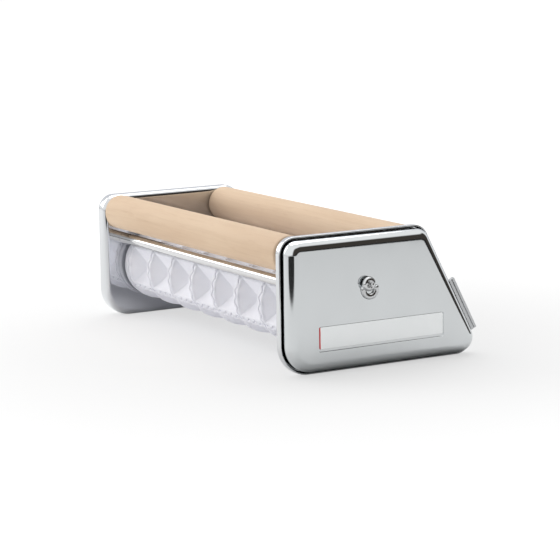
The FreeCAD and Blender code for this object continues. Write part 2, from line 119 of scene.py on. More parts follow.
sky_light = 1.24
dark_side = (0.84, 0.545, 0)
behind_object = (-0.865, 0.50, 0)
shaded_direction = (0.49, 0.07, 0)
room_colour = (0.055, 0.048, 0.042, 1)
backdrop_colour = (0.72, 0.73, 0.77, 1)
world = bpy.data.worlds.new("studio")
bpy.context.scene.world = world
world.use_nodes = True
tree = world.node_tree
tree.nodes.clear()
direction = add_node(tree, "ShaderNodeTexCoord").outputs["Generated"]
height = add_node(tree, "ShaderNodeSeparateXYZ", {0: direction}).outputs["Z"]
low = add_ramp(tree, height, [(0.60, 1.0), (0.72, 0.0)])
room_side = add_node(tree, "ShaderNodeVectorMath", {0: direction, 1: dark_side},
                     operation="DOT_PRODUCT").outputs["Value"]
room_dark = add_math(tree, "MULTIPLY", add_ramp(tree, room_side, [(0.45, 0.0), (0.62, 1.0)]), low)
backdrop_side = add_node(tree, "ShaderNodeVectorMath", {0: direction, 1: behind_object},
                         operation="DOT_PRODUCT").outputs["Value"]
backdrop = add_ramp(tree, backdrop_side, [(0.55, 0.0), (0.85, 1.0)])
backdrop = add_mix(tree, backdrop, (1, 1, 1, 1), backdrop_colour)
room = add_mix(tree, room_dark, backdrop, room_colour)
path = add_node(tree, "ShaderNodeLightPath")
shaded_side = add_node(tree, "ShaderNodeVectorMath", {0: direction, 1: shaded_direction},
                       operation="DOT_PRODUCT").outputs["Value"]
daylight = add_ramp(tree, add_math(tree, "ADD", shaded_side, 0.5),
                    [(0.15, 1.0), (0.5, 0.5), (0.8, 0.08)])
daylight = add_mix(tree, 1.0, daylight, (sky_light, sky_light, sky_light, 1), "MULTIPLY")
plain = add_mix(tree, path.outputs["Is Glossy Ray"], daylight, room)
seen = add_mix(tree, path.outputs["Is Camera Ray"], plain, (1, 1, 1, 1))
background = add_node(tree, "ShaderNodeBackground", {"Color": seen})
add_node(tree, "ShaderNodeOutputWorld", {"Surface": background.outputs[0]})

table_reach = 6.0
table_drop = 0.0001
table_white = 0.80
table_seen = 0.30
table_in_chrome = 0.86
table_dark = 0.03
near_glow_painted_shade = 0.61
bounce_glow = 0.20
table_end = (0.72, 0.80)
dark_centre = (0.65, -0.50, 0)
dark_edge = (0.34, 0.40)
mesh = bpy.data.meshes.new("table")
corners = [(-1, -1), (1, -1), (1, 1), (-1, 1)]
mesh.from_pydata([(x * table_reach, y * table_reach, -table_drop) for x, y in corners], [],
                 [(0, 1, 2, 3)])
table = add_mesh_object("table", mesh)
finish = bpy.data.materials.new("white_table")
finish.use_nodes = True
tree = finish.node_tree
tree.nodes.clear()
place = add_node(tree, "ShaderNodeTexCoord").outputs["Object"]
beyond = add_node(tree, "ShaderNodeVectorMath", {0: place, 1: dark_side},
                  operation="DOT_PRODUCT").outputs["Value"]
beyond = add_ramp(tree, beyond, [(table_end[0], 0.0), (table_end[1], 1.0)])
from_dark = add_node(tree, "ShaderNodeVectorMath", {0: place, 1: dark_centre},
                     operation="DISTANCE").outputs["Value"]
patch = add_ramp(tree, from_dark, [(dark_edge[0], 1.0), (dark_edge[1], 0.0)])
path = add_node(tree, "ShaderNodeLightPath").outputs
dark = add_math(tree, "MAXIMUM", beyond, patch)
chrome_floor = add_mix(tree, dark, (table_in_chrome, table_in_chrome, table_in_chrome, 1),
                       (table_dark, table_dark, table_dark, 1))
white = add_mix(tree, path["Is Glossy Ray"], (table_white, table_white, table_white, 1),
                chrome_floor)
white = add_mix(tree, path["Is Camera Ray"], white, (table_seen, table_seen, table_seen, 1))
diffuse = add_node(tree, "ShaderNodeBsdfDiffuse", {"Color": white})
# Painted shade: for the camera the table glows less near the object, a soft grey pool standing in for
# the shade round it.
away = add_node(tree, "ShaderNodeVectorMath", {0: place}, operation="LENGTH").outputs["Value"]
painted_floor_shade = add_ramp(tree, add_math(tree, "MULTIPLY", away, 0.25),
                   [(0.04, near_glow_painted_shade), (0.09, 0.72), (0.3, 1.0)])
unshaded = add_math(tree, "ADD", add_math(tree, "MULTIPLY", path["Is Camera Ray"], painted_floor_shade),
                    add_math(tree, "MULTIPLY", path["Is Diffuse Ray"], bounce_glow))
glow = add_node(tree, "ShaderNodeEmission", {"Color": (1, 1, 1, 1), "Strength": unshaded})
both = add_node(tree, "ShaderNodeAddShader", {0: diffuse.outputs[0], 1: glow.outputs[0]})
add_node(tree, "ShaderNodeOutputMaterial", {"Surface": both.outputs[0]})
mesh.materials.append(finish)

lamp_width = 1.1
lamp_power = 7.0
for name, location in (("overhead_lamp", (-0.35, 0.15, 1.25)), ("front_lamp", (-1.1, -0.9, 0.8))):
    lamp = bpy.data.objects.new(name, bpy.data.lights.new(name, "AREA"))
    lamp.data.energy = lamp_power
    lamp.data.size = lamp_width
    lamp.location = location
    lamp.rotation_euler = (-Vector(location)).to_track_quat("-Z", "Y").to_euler()
    bpy.context.scene.collection.objects.link(lamp)


# The end units' side plates: each is drawn from one steel sheet into a shallow tray, whose rim
# stands outwards and ends in a rolled edge, and is chromed to a mirror. Bushes and bar screws go
# through the plate; the inner face shows between the rollers.
half_span = 0.135
unit_height = 0.098
unit_front = -0.082773
unit_back = unit_front + 0.1698
unit_top_back = unit_front + 0.1188
corner_radii = (0.0225, 0.0130, 0.0127, 0.0122)
corner_steps = 20
tray_sheet = 0.0012
tray_bends = {"left": 0.004, "right": 0.002}
tray_rim_ends = {"left": half_span + 0.0100, "right": half_span + 0.0062}
mould_y = {"front": -0.040073, "back": 0.015927}
mould_z = 0.0415
feed_place = {"front": (-0.069523, 0.08475), "back": (0.023927, 0.0843)}
bar_places = ((-0.065173, 0.0628), (0.041027, 0.0628), (0.055227, 0.030))
mould_bush_hole = 0.008
feed_bush_hole = 0.005
bar_screw_hole = 0.002
flat_margin = 0.0008


def side_outline(inset):
    """The side outline as (y, z) points, anticlockwise seen from +X, moved in by inset."""
    corners = [Vector((unit_front, 0)), Vector((unit_back, 0)),
               Vector((unit_top_back, unit_height)), Vector((unit_front, unit_height))]
    points = []
    for i, corner in enumerate(corners):
        before = (corners[i - 1] - corner).normalized()
        after = (corners[(i + 1) % 4] - corner).normalized()
        half_angle = before.angle(after) / 2
        centre = corner + (before + after).normalized() * corner_radii[i] / math.sin(half_angle)
        first = math.atan2(before.x, -before.y)
        sweep = math.pi - 2 * half_angle
        for step in range(corner_steps + 1):
            angle = first + sweep * step / corner_steps
            reach = corner_radii[i] - inset
            points.append((centre.x + reach * math.cos(angle), centre.y + reach * math.sin(angle)))
    return points


def circle(y, z, radius, steps=48):
    """A circle's (y, z) points, anticlockwise seen from +X."""
    angles = [2 * math.pi * step / steps for step in range(steps)]
    return [(y + radius * math.cos(angle), z + radius * math.sin(angle)) for angle in angles]


def add_loop(mesh, x, points):
    """New vertices at X = x for a loop of (y, z) points."""
    return [mesh.verts.new((x, y, z)) for y, z in points]


def join_loops(mesh, first, second):
    """Quads between two loops of the same count."""
    count = len(first)
    for i in range(count):
        j = (i + 1) % count
        mesh.faces.new((first[i], first[j], second[j], second[i]))


def fill_loops(mesh, loops):
    """A flat face inside the first loop and outside the others, as triangles."""
    edges = []
    for loop in loops:
        for i in range(len(loop)):
            pair = (loop[i - 1], loop[i])
            edges.append(mesh.edges.get(pair) or mesh.edges.new(pair))
    bmesh.ops.triangle_fill(mesh, use_beauty=True, edges=edges)


def finish_mesh(mesh, name, material, sharp_angle=40):
    """Turns a closed bmesh into a smooth-shaded object with sharp edges above an angle."""
    bmesh.ops.remove_doubles(mesh, verts=mesh.verts, dist=1e-7)
    bmesh.ops.recalc_face_normals(mesh, faces=mesh.faces)
    for face in mesh.faces:
        face.smooth = True
    for edge in mesh.edges:
        edge.smooth = not (edge.is_manifold and edge.calc_face_angle(0) > math.radians(sharp_angle))
    data = bpy.data.meshes.new(name)
    mesh.to_mesh(data)
    mesh.free()
    data.materials.append(material)
    return add_mesh_object(name, data)


def sheet_shell(name, side, rings, holes, dents, material):
    """A drawn sheet from its outer flat, round its edge and back to its inner flat, as one skin.

    rings are (x, inset) pairs, holes are outlines through both flats, and dents are pairs of
    outlines with a depth in the outer flat.
    """
    mesh = bmesh.new()
    sign = 1 if side == "right" else -1
    loops = [add_loop(mesh, sign * x, side_outline(inset)) for x, inset in rings]
    for first, second in zip(loops, loops[1:]):
        join_loops(mesh, first, second)
    outer_x, inner_x = sign * rings[0][0], sign * rings[-1][0]
    outer = [loops[0]]
    inner = [loops[-1]]
    for hole in holes:
        outer.append(add_loop(mesh, outer_x, hole))
        inner.append(add_loop(mesh, inner_x, hole))
        join_loops(mesh, outer[-1], inner[-1])
    for top, bottom, depth in dents:
        outer.append(add_loop(mesh, outer_x, top))
        floor = add_loop(mesh, outer_x - sign * depth, bottom)
        join_loops(mesh, outer[-1], floor)
        mesh.faces.new(floor)
    fill_loops(mesh, outer)
    fill_loops(mesh, inner)
    return finish_mesh(mesh, name, material)


def arc_rings(centre_x, centre_inset, radius, start_degrees, end_degrees, steps):
    """(x, inset) pairs round an arc; 0 degrees is +X and 90 is towards the outline's outside."""
    rings = []
    for step in range(steps + 1):
        angle = math.radians(start_degrees + (end_degrees - start_degrees) * step / steps)
        rings.append((centre_x + radius * math.cos(angle), centre_inset - radius * math.sin(angle)))
    return rings


def new_material(name):
    """A material with one Principled shader: the material, its tree, shader and object place."""
    made = bpy.data.materials.new(name)
    made.use_nodes = True
    tree = made.node_tree
    tree.nodes.clear()
    shader = add_node(tree, "ShaderNodeBsdfPrincipled")
    add_node(tree, "ShaderNodeOutputMaterial", {"Surface": shader.outputs[0]})
    return made, tree, shader, add_node(tree, "ShaderNodeTexCoord").outputs["Object"]


def add_noise(tree, place, scale, detail=3.0, stretch=(1, 1, 1), roughness=0.5, shift=(0, 0, 0)):
    """Noise on the piece, stretched along the axes."""
    mapped = add_node(tree, "ShaderNodeMapping",
                      {"Vector": place, "Scale": stretch, "Location": shift}).outputs[0]
    noise = add_node(tree, "ShaderNodeTexNoise",
                     {"Vector": mapped, "Scale": scale, "Detail": detail, "Roughness": roughness})
    return noise.outputs["Fac"]


def mirror_chrome(name, tint, haze, inner_painted_shade=None):
    """Polished chrome: faint smears that dull it, and the long ripple of pressed sheet.

    inner_painted_shade is painted shade: a darker tint on the face towards the rollers, for the dark
    surroundings that face reflects.
    """
    made, tree, shader, place = new_material(name)
    smear = add_noise(tree, place, 55, 4, (1, 1, 0.45))
    specks = add_noise(tree, place, 900, 2)
    ripple = add_noise(tree, place, 14, 1)
    pits = add_node(tree, "ShaderNodeBump",
                    {"Height": specks, "Strength": 0.012, "Distance": 0.0002}).outputs[0]
    waves = add_node(tree, "ShaderNodeBump",
                     {"Height": ripple, "Strength": 0.05, "Distance": 0.002, "Normal": pits})
    shade = add_ramp(tree, smear, [(0.3, tuple(0.965 * part for part in tint)), (0.7, tint)])
    gloss = add_ramp(tree, smear, [(0.35, haze), (0.75, haze + 0.05)])
    if inner_painted_shade:
        # Painted shade: the face towards the rollers takes the darker tint.
        parts = add_node(tree, "ShaderNodeSeparateXYZ", {0: place})
        out = add_math(tree, "ABSOLUTE", parts.outputs["X"])
        inside = add_ramp(tree, out, [(half_span + 0.0002, 1.0), (half_span + 0.0014, 0.0)])
        shade = add_mix(tree, inside, shade, (*inner_painted_shade, 1))
    tree.links.new(shade, shader.inputs["Base Color"])
    tree.links.new(gloss, shader.inputs["Roughness"])
    tree.links.new(waves.outputs[0], shader.inputs["Normal"])
    shader.inputs["Metallic"].default_value = 1
    return made


# The last tint is painted shade, darkening the side plates' inner face.
tray_finish = mirror_chrome("tray_chrome", (0.76, 0.775, 0.79), 0.035, (0.50, 0.505, 0.535))
for side, tray_bend in tray_bends.items():
    inner_bend = tray_bend - tray_sheet
    lip = tray_sheet / 2
    rings = [(half_span, tray_bend + flat_margin)]
    rings += arc_rings(half_span + tray_bend, tray_bend, tray_bend, 180, 90, 8)
    rings += arc_rings(tray_rim_ends[side] - lip, lip, lip, 90, -90, 10)
    rings += arc_rings(half_span + tray_bend, tray_bend, inner_bend, 90, 180, 6)
    rings.append((half_span + tray_sheet, tray_bend + flat_margin))
    holes = [circle(y, mould_z, mould_bush_hole) for y in mould_y.values()]
    holes += [circle(y, z, feed_bush_hole) for y, z in feed_place.values()]
    holes += [circle(y, z, bar_screw_hole) for y, z in bar_places]
    tray = sheet_shell(side + "_side_plate", side, rings, holes, [], tray_finish)
    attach(tray, "frame")
    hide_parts(side + "_frame_tray")


# The covers: each is drawn deeper from thinner sheet, with a round edge, and its skirt goes inside
# the side plate's rim. The right one has a shallow recess pressed in for the label plate; the left
# one has a hole for the crank's socket. Mirror chrome, like the side plates.
cover_sheet = 0.001
cover_inset = 0.0023
cover_face = half_span + 0.0151
cover_edges = {"left": 0.0022, "right": 0.007}
skirt_start = half_span + 0.0022
screw_place = {"left": (-0.012073, 0.069), "right": (-0.017373, 0.0617)}
cover_hole = 0.0028
socket_hole = 0.007
label_centre = (-0.004573, 0.0266)
label_size = (0.1036, 0.0156)
recess_margin = 0.0003
recess_below = 0.0018
recess_depth = 0.0005
recess_corner = 0.0013
recess_floor_corner = 0.0011
recess_floor_margin = 0.0001
recess_slant = 0.0002


def rectangle(centre, size, grow, below, radius):
    """A rectangle's (y, z) outline with small round corners, grown on all sides and more below."""
    low = Vector((centre[0] - size[0] / 2 - grow, centre[1] - size[1] / 2 - grow - below))
    high = Vector((centre[0] + size[0] / 2 + grow, centre[1] + size[1] / 2 + grow))
    middles = [(low.x + radius, low.y + radius, 180), (high.x - radius, low.y + radius, 270),
               (high.x - radius, high.y - radius, 0), (low.x + radius, high.y - radius, 90)]
    points = []
    for y, z, start in middles:
        for turned_by in range(0, 91, 15):
            angle = math.radians(start + turned_by)
            points.append((y + radius * math.cos(angle), z + radius * math.sin(angle)))
    return points


cover_finish = mirror_chrome("cover_chrome", (0.745, 0.77, 0.78), 0.045)
for side, (screw_y, screw_z) in screw_place.items():
    cover_edge = cover_edges[side]
    bend_x = cover_face - cover_edge
    bend_inset = cover_inset + cover_edge
    rings = [(cover_face, bend_inset + flat_margin)]
    rings += arc_rings(bend_x, bend_inset, cover_edge, 0, 90, 24)
    rings += [(bend_x - flat_margin, cover_inset), (skirt_start, cover_inset),
              (skirt_start, cover_inset + cover_sheet)]
    rings += arc_rings(bend_x, bend_inset, cover_edge - cover_sheet, 90, 0, 12)
    holes = [circle(screw_y, screw_z, cover_hole)]
    dents = []
    if side == "left":
        holes.append(circle(mould_y["front"], mould_z, socket_hole))
    else:
        top = rectangle(label_centre, label_size, recess_margin, recess_below, recess_corner)
        bottom = rectangle(label_centre, label_size, recess_floor_margin,
                           recess_below - recess_slant, recess_floor_corner)
        dents.append((top, bottom, recess_depth))
    cover = sheet_shell(side + "_end_cover", side, rings, holes, dents, cover_finish)
    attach(cover, "frame")
    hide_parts(side + "_cover")


# The label plate: thin pale metal with small round corners, laid in its recess. It is bare here,
# apart from the narrow red line down its left edge.
plate_sheet = 0.0004
plate_edge = 0.0001
red_edge = 0.0009
plate_corner = 0.0012
plate_front_corner = 0.0011


def label_finish():
    """Satin enamel on thin metal, with the red line on its left edge."""
    made, tree, shader, place = new_material("label_enamel")
    parts = add_node(tree, "ShaderNodeSeparateXYZ", {0: place})
    line_end = label_centre[0] - label_size[0] / 2 + red_edge
    in_line = add_math(tree, "LESS_THAN", parts.outputs["Y"], line_end)
    grain = add_noise(tree, place, 700, 3, (1, 0.25, 1))
    cloud = add_noise(tree, place, 40, 3)
    pale = add_ramp(tree, cloud, [(0.3, (0.93, 0.955, 0.96)), (0.7, (0.95, 0.97, 0.975))])
    colour = add_mix(tree, in_line, pale, (0.62, 0.03, 0.04, 1))
    gloss = add_ramp(tree, grain, [(0.3, 0.10), (0.7, 0.15)])
    bump = add_node(tree, "ShaderNodeBump", {"Height": grain, "Strength": 0.01, "Distance": 0.0001})
    tree.links.new(colour, shader.inputs["Base Color"])
    tree.links.new(gloss, shader.inputs["Roughness"])
    tree.links.new(bump.outputs[0], shader.inputs["Normal"])
    shader.inputs["Metallic"].default_value = 0.9
    return made


mesh = bmesh.new()
plate_back = cover_face - recess_depth
plate_front = plate_back + plate_sheet
loops = [
    add_loop(mesh, x, rectangle(label_centre, label_size, grow, 0, corner))
    for x, grow, corner in ((plate_back, 0, plate_corner),
                            (plate_front - plate_edge, 0, plate_corner),
                            (plate_front, -plate_edge, plate_front_corner))
]
for first, second in zip(loops, loops[1:]):
    join_loops(mesh, first, second)
mesh.faces.new(loops[0])
mesh.faces.new(loops[-1])
label = finish_mesh(mesh, "bare_label_plate", label_finish(), 30)
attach(label, "frame")
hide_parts("label_plate")


# The cover screws: plated pan heads with a cross recess, each turned down on an open washer that
# hangs low under it.
screw_head_radius = 0.0052
screw_head_height = 0.0032
screw_shank_radius = 0.0025
screw_length = 0.010
screw_side_height = 0.0011
screw_edge = 0.0003
washer_thickness = 0.0018
cross_reach = 0.0026
cross_width = 0.0011
cross_depth = 0.0017
cross_lean = math.radians(24)


def turned(name, profile, y, z, material, steps=64, sharp_angle=40):
    """A closed solid of revolution about an X axis, through (x, radius) points from end to end."""
    mesh = bmesh.new()
    loops = [add_loop(mesh, x, circle(y, z, radius, steps)) for x, radius in profile if radius > 0]
    for first, second in zip(loops, loops[1:]):
        join_loops(mesh, first, second)
    for loop, (x, radius) in ((loops[0], profile[0]), (loops[-1], profile[-1])):
        if radius > 0:
            mesh.faces.new(loop)
            continue
        tip = mesh.verts.new((x, y, z))
        for i in range(steps):
            mesh.faces.new((loop[i - 1], loop[i], tip))
    return finish_mesh(mesh, name, material, sharp_angle)


def keep_mesh(piece):
    """Turns a piece's modifiers into its mesh."""
    evaluated = piece.evaluated_get(bpy.context.evaluated_depsgraph_get())
    made = bpy.data.meshes.new_from_object(evaluated)
    piece.modifiers.clear()
    piece.data = made


def cross_cutter(x, y, z, reach, width, depth, sign):
    """A tapered cross that a driver's tip would fill."""
    mesh = bmesh.new()
    loops = []
    for level, share in ((0.0004, 1.08), (0.0, 1.0), (-depth, 0.45)):
        arm, half = reach * share, width / 2 * (0.6 + 0.4 * share)
        outline = [(arm, -half), (arm, half), (half, half), (half, arm), (-half, arm),
                   (-half, half), (-arm, half), (-arm, -half), (-half, -half), (-half, -arm),
                   (half, -arm), (half, -half)]
        cosine, sine = math.cos(cross_lean), math.sin(cross_lean)
        points = [(y + a * cosine - b * sine, z + a * sine + b * cosine) for a, b in outline]
        loops.append(add_loop(mesh, x + sign * level, points))
    for first, second in zip(loops, loops[1:]):
        join_loops(mesh, first, second)
    mesh.faces.new(loops[0])
    mesh.faces.new(loops[-1])
    return finish_mesh(mesh, "cross_cutter", screw_finish)


def plated_steel(name, tint, haze, wear):
    """Bright plated steel with turning marks and rubbed, duller patches."""
    made, tree, shader, place = new_material(name)
    marks = add_noise(tree, place, 1500, 2)
    patches = add_noise(tree, place, 260, 3)
    shade = add_ramp(tree, patches, [(0.35, tuple(wear * part for part in tint)), (0.65, tint)])
    gloss = add_ramp(tree, patches, [(0.3, haze + 0.12), (0.7, haze)])
    bump = add_node(tree, "ShaderNodeBump", {"Height": marks, "Strength": 0.08, "Distance": 0.0001})
    tree.links.new(shade, shader.inputs["Base Color"])
    tree.links.new(gloss, shader.inputs["Roughness"])
    tree.links.new(bump.outputs[0], shader.inputs["Normal"])
    shader.inputs["Metallic"].default_value = 1
    return made


screw_finish = plated_steel("screw_plating", (0.74, 0.75, 0.76), 0.10, 0.8)
for side, (y, z) in screw_place.items():
    sign = 1 if side == "right" else -1
    seat = cover_face + washer_thickness
    top = seat + screw_head_height
    shoulder = seat + screw_side_height
    dome = [(seat - screw_length, 0), (seat - screw_length, screw_shank_radius),
            (seat, screw_shank_radius), (seat, screw_head_radius - screw_edge),
            (seat + screw_edge, screw_head_radius), (shoulder, screw_head_radius)]
    for degrees in range(9, 91, 9):
        angle = math.radians(degrees)
        dome.append((shoulder + (top - shoulder) * math.sin(angle),
                     screw_head_radius * (0.52 + 0.48 * math.cos(angle)) if degrees < 90 else 0))
    profile = [(sign * x, radius) for x, radius in dome]
    screw = turned(side + "_cross_screw", profile, y, z, screw_finish, 48, 50)
    cutter = cross_cutter(sign * top, y, z, cross_reach, cross_width, cross_depth, sign)
    cut = screw.modifiers.new("recess", "BOOLEAN")
    cut.operation = "DIFFERENCE"
    cut.object = cutter
    keep_mesh(screw)
    bpy.data.objects.remove(cutter)
    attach(screw, "frame")
    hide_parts(side + "_cover_screw")

washer_centre = (0.0024, -0.0045)
washer_radii = (0.0031, 0.0072)
washer_start = math.radians(152)
washer_sweep = math.radians(235)
washer_steps = 44
washer_side = 0.0006
washer_end_steps = 2.5
for side, (screw_y, screw_z) in screw_place.items():
    sign = 1 if side == "right" else -1
    inner, outer = washer_radii
    middle = (inner + outer) / 2
    half = (outer - inner) / 2
    section = [(inner, 0.0), (outer, 0.0), (outer, washer_side)]
    for step in range(1, 8):
        angle = math.radians(180 * step / 8)
        section.append((middle + half * math.cos(angle),
                        washer_side + (washer_thickness - washer_side) * math.sin(angle)))
    section.append((inner, washer_side))
    mesh = bmesh.new()
    loops = []
    for step in range(washer_steps + 1):
        share = step / washer_steps
        angle = washer_start + washer_sweep * share
        end = min(share, 1 - share) * washer_steps
        shrink = 0.55 + 0.45 * math.sqrt(1 - max(0.0, 1 - end / washer_end_steps) ** 2)
        loop = []
        for radius, rise in section:
            reach = middle + (radius - middle) * shrink
            loop.append(mesh.verts.new((sign * (cover_face + rise * shrink),
                                        screw_y + washer_centre[0] + reach * math.cos(angle),
                                        screw_z + washer_centre[1] + reach * math.sin(angle))))
        loops.append(loop)
    for first, second in zip(loops, loops[1:]):
        join_loops(mesh, first, second)
    mesh.faces.new(loops[0])
    mesh.faces.new(loops[-1])
    washer = finish_mesh(mesh, side + "_horseshoe_washer", screw_finish, 60)
    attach(washer, "frame")
    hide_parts(side + "_open_washer")


# The bars: round chromed steel between the side plates, one under each wooden roller to guide the
# dough and a third low at the back to square the frame. Screws hold them from outside.
bar_radius = 0.00445
bar_chamfer = 0.0003
bar_finish = mirror_chrome("bar_chrome", (0.76, 0.76, 0.765), 0.05)
for name, (y, z) in zip(("front_guide_bar", "back_guide_bar", "lower_tie_bar"), bar_places):
    profile = [(-half_span, bar_radius - bar_chamfer), (-half_span + bar_chamfer, bar_radius),
               (half_span - bar_chamfer, bar_radius), (half_span, bar_radius - bar_chamfer)]
    bar = turned(name.replace("_bar", "_rod"), profile, y, z, bar_finish)
    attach(bar, "frame")
    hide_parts(name)


# The wooden rollers: sanded pale beech, turned with soft round ends and left bare. The dough
# passes over them, and each runs on a steel pin at either end.
wood_radius = 0.01325
wood_half = half_span - 0.0011
wood_round = 0.0022
pin_radius = 0.003


def beech(name, pith, seed):
    """Bare beech along X: growth rings round an off-centre pith, pores, and short ray flecks."""
    made, tree, shader, place = new_material(name)
    shift = (seed, seed * 0.37, -seed * 0.21)
    parts = add_node(tree, "ShaderNodeSeparateXYZ", {0: place})
    sway = add_noise(tree, place, 9, 3, (0.7, 3, 3), shift=shift)
    across = add_math(tree, "SUBTRACT", parts.outputs["Y"], pith[0])
    up = add_math(tree, "SUBTRACT", parts.outputs["Z"], pith[1])
    squares = add_math(tree, "ADD", add_math(tree, "MULTIPLY", across, across),
                       add_math(tree, "MULTIPLY", up, up))
    radius = add_math(tree, "ADD", add_math(tree, "POWER", squares, 0.5),
                      add_math(tree, "MULTIPLY", sway, 0.010))
    rings = add_math(tree, "FRACT", add_math(tree, "MULTIPLY", radius, 330))
    ring_shade = add_ramp(tree, rings, [(0.0, 0.35), (0.12, 0.05), (0.75, 0.25), (0.97, 1.0)])
    pores = add_noise(tree, place, 260, 4, (0.05, 1, 1), 0.7, shift)
    pore_shade = add_ramp(tree, pores, [(0.36, 1.0), (0.50, 0.0)])
    flecks = add_noise(tree, place, 420, 2, (0.12, 1, 0.6), 0.5, shift)
    fleck_shade = add_ramp(tree, flecks, [(0.60, 0.0), (0.70, 1.0)])
    cloud = add_noise(tree, place, 24, 3, (0.35, 1, 1), shift=shift)
    base = add_ramp(tree, cloud, [(0.25, (0.660, 0.480, 0.330)), (0.5, (0.720, 0.545, 0.385)),
                                  (0.75, (0.765, 0.600, 0.440))])
    for shade, strength, dark in ((ring_shade, 0.10, (0.52, 0.34, 0.20, 1)),
                                  (pore_shade, 0.16, (0.50, 0.33, 0.20, 1)),
                                  (fleck_shade, 0.12, (0.50, 0.31, 0.18, 1))):
        base = add_mix(tree, add_math(tree, "MULTIPLY", shade, strength), base, dark)
    gloss = add_ramp(tree, cloud, [(0.3, 0.58), (0.7, 0.70)])
    bump = add_node(tree, "ShaderNodeBump", {"Height": pores, "Strength": 0.10, "Distance": 0.0002})
    tree.links.new(base, shader.inputs["Base Color"])
    tree.links.new(gloss, shader.inputs["Roughness"])
    tree.links.new(bump.outputs[0], shader.inputs["Normal"])
    shader.inputs["Specular IOR Level"].default_value = 0.3
    return made


for row, (y, z) in feed_place.items():
    profile = [(-wood_half, pin_radius)]
    for end in (-1, 1):
        corner = [(end * (wood_half - wood_round + wood_round * math.cos(math.radians(angle))),
                   wood_radius - wood_round + wood_round * math.sin(math.radians(angle)))
                  for angle in range(0, 91, 9)]
        flat = (end * wood_half, wood_radius - wood_round - 0.0006)
        part = [flat] + corner + [(end * (wood_half - wood_round - 0.0008), wood_radius)]
        profile += part if end < 0 else part[::-1]
    profile.append((wood_half, pin_radius))
    seed = 3.1 if row == "front" else 7.4
    pith = (y + 0.030, z - 0.055) if row == "front" else (y - 0.045, z - 0.040)
    wood = turned(row + "_beech_roller", profile, y, z, beech(row + "_beech", pith, seed), 96)
    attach(wood, row + "_feed")
    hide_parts(row + "_feed_roller")


# The moulding rollers: white plastic, with seven rings of five pockets. Every pocket is a
# four-sided hollow, and its crests meet the other roller's crests and seal the dough between them.
# A crest is a pair of low ribs with a wavy groove between them.
pocket_pitch = 0.035
pockets_across = 7
pockets_around = 5
row_angle = 2 * math.pi / pockets_around
crest_radius = pockets_around * pocket_pitch / (2 * math.pi)
row_lift = math.radians(3.5)
crest_shoulder = 0.0037
shoulder_radius = crest_radius - 0.0011
floor_radius = 0.0172
floor_level = 0.0184
floor_round = 0.0005
groove_edge = 0.0010
wave_height = 0.0014
waves_per_pocket = 4
wave_start = 0.0025
wave_full = 0.0055
first_crest = -0.1237
# Across a crest, outwards from its middle: the distance, the depth below the crest's radius, and
# the share of the wave that it follows
crest_section = ((0.0, 0.0022, 1.0), (0.0003, 0.0020, 1.0), (0.0005, 0.0009, 1.0),
                 (0.0007, 0.00012, 1.0), (groove_edge, 0.0, 1.0), (0.0018, 0.0, 0.75),
                 (0.0025, 0.00008, 0.5), (0.0030, 0.00030, 0.3), (0.0034, 0.00068, 0.15),
                 (crest_shoulder, 0.00110, 0.1))
facet_steps = 15


def crest_levels():
    """From a crest's middle to a pocket's: distance, angle, radius and share of the wave."""
    levels = []
    for distance, depth, share in crest_section:
        levels.append((distance, distance / crest_radius, crest_radius - depth, share))
    edge_angle = crest_shoulder / crest_radius
    far = row_angle / 2
    edge = Vector((shoulder_radius * math.cos(edge_angle), shoulder_radius * math.sin(edge_angle)))
    middle = Vector((floor_radius * math.cos(far), floor_radius * math.sin(far)))
    for step in range(1, facet_steps + 1):
        share = step / facet_steps
        radius = shoulder_radius + (floor_radius - shoulder_radius) * share
        low, high = 0.0, 1.0
        for _ in range(40):
            half = (low + high) / 2
            if edge.lerp(middle, half).length > radius:
                low = half
            else:
                high = half
        place = edge.lerp(middle, low)
        distance = crest_shoulder + (pocket_pitch / 2 - crest_shoulder) * share
        above = radius - floor_level
        radius = floor_level + (above + math.hypot(above, floor_round)) / 2
        levels.append((distance, math.atan2(place.y, place.x), radius, 0.1 * (1 - share) ** 2))
    return levels


levels = crest_levels()
last = len(levels) - 1
steps_across = 2 * last


def level_at(step):
    """The level at a grid step over one whole pocket, and which side of its middle that is."""
    return (levels[step], -1) if step <= last else (levels[steps_across - step], 1)


def wave(share):
    """The waviness at a share of the way from one crossing of the crests to the next."""
    from_crossing = min(share, 1 - share) * pocket_pitch
    fade = min(1.0, max(0.0, (from_crossing - wave_start) / (wave_full - wave_start)))
    return wave_height * fade * math.cos(2 * math.pi * waves_per_pocket * share)


def pocket_point(step_x, step_turn):
    """A point of the pocket from x = 0 to one pitch and from angle 0 to one row, about X."""
    (distance, _, ring_radius, ring_share), side_x = level_at(step_x)
    (along, angle, bar_radius_here, bar_share), side_turn = level_at(step_turn)
    x = distance if side_x < 0 else pocket_pitch - distance
    turn_angle = angle if side_turn < 0 else row_angle - angle
    waved_x = x + wave(turn_angle / row_angle) * ring_share
    waved_turn = turn_angle + wave(x / pocket_pitch) * bar_share / crest_radius
    in_ring_groove = distance < groove_edge
    in_bar_groove = along < groove_edge
    if in_ring_groove and in_bar_groove:
        radius = min(ring_radius, bar_radius_here)
    elif in_ring_groove:
        radius = ring_radius
    elif in_bar_groove:
        radius = bar_radius_here
    else:
        radius = max(ring_radius, bar_radius_here)
    return Vector((waved_x, radius * math.cos(waved_turn), radius * math.sin(waved_turn)))


